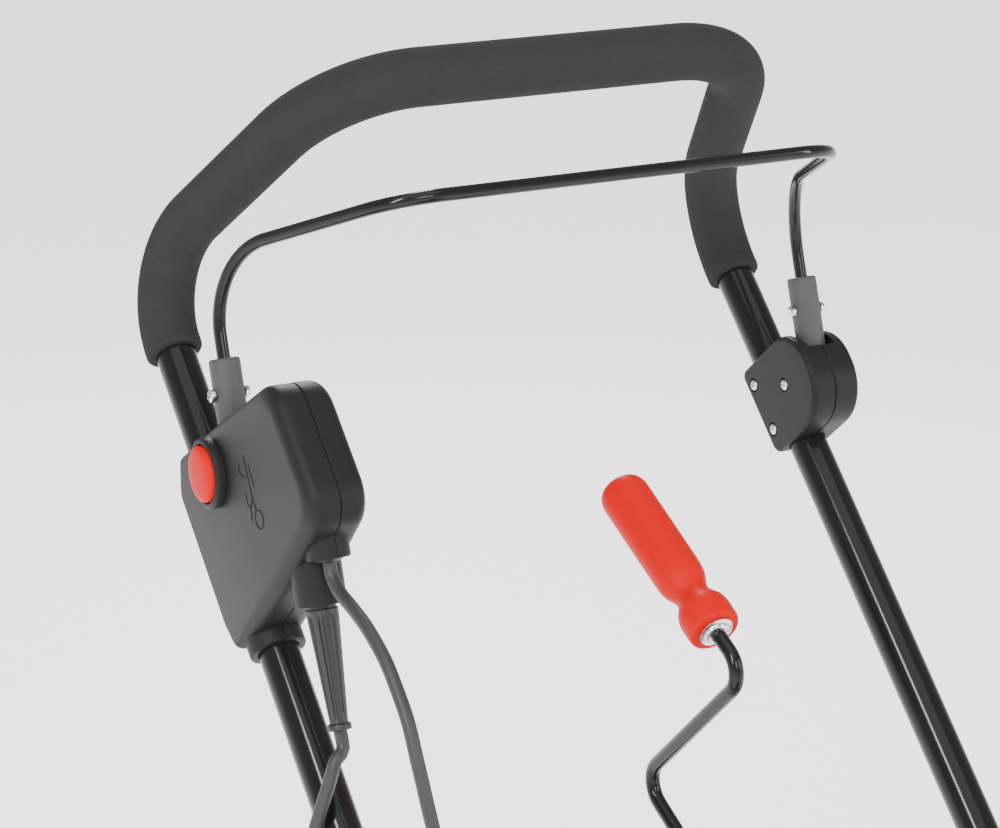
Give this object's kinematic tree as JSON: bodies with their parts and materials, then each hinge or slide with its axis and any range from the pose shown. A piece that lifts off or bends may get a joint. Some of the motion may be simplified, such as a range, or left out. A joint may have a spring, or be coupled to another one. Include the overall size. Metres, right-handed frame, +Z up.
{
  "type": "electric snow thrower",
  "caption": "Corded electric snow thrower with a foam loop handle, switch bail, safety button, hand crank that turns the chute, auger, motor and wheels.",
  "frame": {"origin": "centre of the bounding box's footprint, on the ground", "axes": "+Z up; the machine faces -Y and the operator stands at +Y; the operator's right is -X"},
  "size_m": [0.532, 1.0768, 1.0711],
  "materials": {
    "black_paint": "gloss",
    "foam": "matte foam",
    "dark_plastic": "fine texture",
    "grey_plastic": "satin",
    "black_plastic": "satin",
    "red_plastic": "satin",
    "cable_rubber": "satin",
    "black_rubber": "matte",
    "zinc": "bright zinc",
    "steel": "satin",
    "alloy": "die-cast"
  },
  "bodies": {
    "chassis": {"lower_tube_left": "black_paint", "lower_tube_right": "black_paint", "crossbar": "black_paint", "crank_eye": "black_plastic", "fold_bolt_left": "zinc", "fold_bolt_right": "zinc", "rear_frame": "dark_plastic", "auger_housing": "dark_plastic", "scraper_bar": "steel", "motor": "alloy", "motor_cover": "red_plastic", "belt_cover": "dark_plastic", "chute_collar": "dark_plastic", "axle": "steel", "drive_belt": "black_rubber", "auger_bearing_left": "steel", "auger_bearing_right": "steel", "cable_clip": "black_plastic"},
    "upper_handle": {"handle_loop_tube": "black_paint", "foam_grip": "foam", "switch_box_outer": "dark_plastic", "switch_box_inner": "dark_plastic", "button_collar": "dark_plastic", "switch_module": "black_plastic", "cable_grommet": "black_rubber", "strain_relief": "black_rubber", "clamp_bracket_inner": "dark_plastic", "clamp_bracket_outer": "dark_plastic", "bracket_screw_1": "zinc", "bracket_screw_2": "zinc", "bracket_screw_3": "zinc", "button_spring": "zinc", "supply_cord": "cable_rubber", "supply_plug": "black_rubber", "motor_cable": "cable_rubber"},
    "button": {"safety_button": "red_plastic"},
    "bail": {"bail_rod": "black_paint", "bail_socket_left": "grey_plastic", "bail_socket_right": "grey_plastic", "bail_bolt_left": "zinc", "bail_bolt_right": "zinc"},
    "knob_left": {"fold_knob_left": "black_plastic"},
    "knob_right": {"fold_knob_right": "black_plastic"},
    "crank": {"crank_rod": "black_paint", "crank_pinion": "black_plastic", "grip_washer": "zinc"},
    "grip": {"crank_grip": "red_plastic"},
    "chute": {"chute": "dark_plastic", "deflector_pin": "zinc"},
    "deflector": {"chute_deflector": "dark_plastic"},
    "auger": {"auger_shaft": "steel", "auger_rotor": "black_rubber", "auger_pulley": "black_plastic"},
    "motor_rotor": {"motor_pulley": "steel"},
    "wheel_left": {"wheel_rim_left": "dark_plastic", "tyre_left": "black_rubber"},
    "wheel_right": {"wheel_rim_right": "dark_plastic", "tyre_right": "black_rubber"}
  },
  "joints": [
    {"name": "handle_fold", "type": "hinge", "parent": "chassis", "child": "upper_handle", "pos_m": [0, 0.17902, 0.55359], "axis": [-1, 0, 0], "range_deg": [0, 100], "deforming": ["motor_cable"]},
    {"name": "button_press", "type": "slide", "parent": "upper_handle", "child": "button", "axis": [1, 0, 0], "range_m": [0, 0.0025], "stiffness_N_per_m": 400, "deforming": ["button_spring"]},
    {"name": "bail_pull", "type": "hinge", "parent": "upper_handle", "child": "bail", "pos_m": [0, 0.40022, 0.81975], "axis": [-1, 0, 0], "range_deg": [0, 24], "stiffness_Nm_per_rad": 1.5, "springref_deg": -17.19},
    {"name": "knob_left_turn", "type": "hinge", "parent": "upper_handle", "child": "knob_left", "pos_m": [0.245, 0.17902, 0.55359], "axis": [1, 0, 0], "continuous": true},
    {"name": "knob_right_turn", "type": "hinge", "parent": "upper_handle", "child": "knob_right", "pos_m": [-0.245, 0.17902, 0.55359], "axis": [-1, 0, 0], "continuous": true},
    {"name": "chute_turn", "type": "hinge", "parent": "chassis", "child": "chute", "pos_m": [0, -0.36266, 0.33], "axis": [0, 0, 1], "range_deg": [-95, 95]},
    {"name": "crank_turn", "type": "hinge", "parent": "chassis", "child": "crank", "pos_m": [0, 0.2757, 0.6355], "axis": [0, 0.8949, 0.4462], "range_deg": [-480, 480]},
    {"name": "grip_spin", "type": "hinge", "parent": "crank", "child": "grip", "pos_m": [0, 0.1657, 0.7402], "axis": [0, 0.8949, 0.4462], "continuous": true},
    {"name": "deflector_tilt", "type": "hinge", "parent": "chute", "child": "deflector", "pos_m": [0, -0.28816, 0.575], "axis": [1, 0, 0], "range_deg": [0, 22]},
    {"name": "auger_spin", "type": "hinge", "parent": "chassis", "child": "auger", "pos_m": [0, -0.41, 0.135], "axis": [1, 0, 0], "continuous": true},
    {"name": "motor_spin", "type": "hinge", "parent": "chassis", "child": "motor_rotor", "pos_m": [0.246, -0.19, 0.262], "axis": [1, 0, 0], "continuous": true},
    {"name": "wheel_left_spin", "type": "hinge", "parent": "chassis", "child": "wheel_left", "pos_m": [0.217, -0.1, 0.09], "axis": [1, 0, 0], "continuous": true},
    {"name": "wheel_right_spin", "type": "hinge", "parent": "chassis", "child": "wheel_right", "pos_m": [-0.217, -0.1, 0.09], "axis": [1, 0, 0], "continuous": true}
  ],
  "couplings": [
    {"joint": "crank_turn", "follows": "chute_turn", "ratio": 5},
    {"joint": "motor_spin", "follows": "auger_spin", "ratio": 3.3333}
  ]
}
